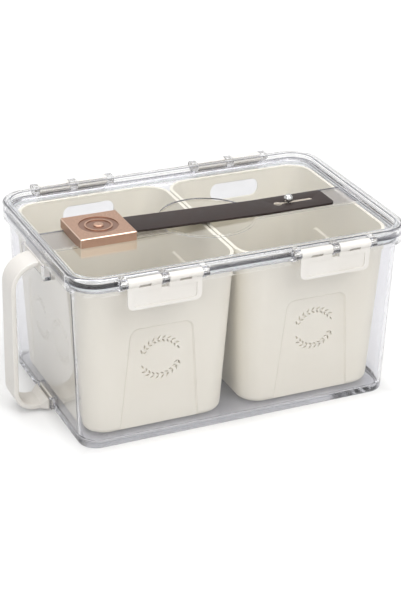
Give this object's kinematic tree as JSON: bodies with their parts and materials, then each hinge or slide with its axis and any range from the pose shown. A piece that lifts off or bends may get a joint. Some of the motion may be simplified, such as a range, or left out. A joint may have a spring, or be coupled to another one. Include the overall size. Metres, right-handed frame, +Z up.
{
  "type": "fridge storage container",
  "caption": "Clear latched storage tub with an end handle, a strap across its lid and lift-out vented bins.",
  "frame": {"origin": "centre of the tub's resting face", "axes": "+Z up, +X along the tub away from the end handle, -Y the front"},
  "size_m": [0.3392, 0.2278, 0.166],
  "materials": {
    "clear_tub": "clear polished moulding",
    "clear_lid": "clear polished moulding",
    "white_plastic": "satin moulding",
    "cream_plastic": "fine satin moulding",
    "silicone": "translucent soft rubber",
    "leather": "smooth dark leather with a cut edge",
    "copper_plate": "brushed, aged copper plating",
    "chrome": "polished",
    "steel": "plain bright"
  },
  "bodies": {
    "tub": {"tub": "clear_tub", "handle": "white_plastic"},
    "lid": {"lid": "clear_lid", "lid_seal": "silicone", "strap": "leather", "badge": "copper_plate", "badge_screws": "steel", "strap_stud": "chrome", "stud_screw": "steel", "latch_pins": "steel"},
    "latch_front_left": {"latch_front_left": "white_plastic"},
    "latch_front_right": {"latch_front_right": "white_plastic"},
    "latch_back_left": {"latch_back_left": "white_plastic"},
    "latch_back_right": {"latch_back_right": "white_plastic"},
    "bin_left": {"bin_left": "cream_plastic"},
    "bin_right": {"bin_right": "cream_plastic"}
  },
  "joints": [
    {"name": "lid_lift", "type": "slide", "parent": "tub", "child": "lid", "axis": [0, 0, 1], "range_m": [0, 0.32]},
    {"name": "bin_left_lift", "type": "slide", "parent": "tub", "child": "bin_left", "axis": [0, 0, 1], "range_m": [0, 0.16]},
    {"name": "bin_right_lift", "type": "slide", "parent": "tub", "child": "bin_right", "axis": [0, 0, 1], "range_m": [0, 0.16]},
    {"name": "latch_front_left_swing", "type": "hinge", "parent": "lid", "child": "latch_front_left", "pos_m": [-0.0816, -0.1096, 0.1596], "axis": [-1, 0, 0], "range_deg": [0, 135]},
    {"name": "latch_front_right_swing", "type": "hinge", "parent": "lid", "child": "latch_front_right", "pos_m": [0.076, -0.1096, 0.1596], "axis": [-1, 0, 0], "range_deg": [0, 135]},
    {"name": "latch_back_left_swing", "type": "hinge", "parent": "lid", "child": "latch_back_left", "pos_m": [-0.0816, 0.1096, 0.1596], "axis": [1, 0, 0], "range_deg": [0, 135]},
    {"name": "latch_back_right_swing", "type": "hinge", "parent": "lid", "child": "latch_back_right", "pos_m": [0.076, 0.1096, 0.1596], "axis": [1, 0, 0], "range_deg": [0, 135]}
  ],
  "couplings": [
    {"joint": "bin_left_lift", "follows": "lid_lift", "ratio": 0.5},
    {"joint": "bin_right_lift", "follows": "lid_lift", "ratio": 0.5}
  ]
}
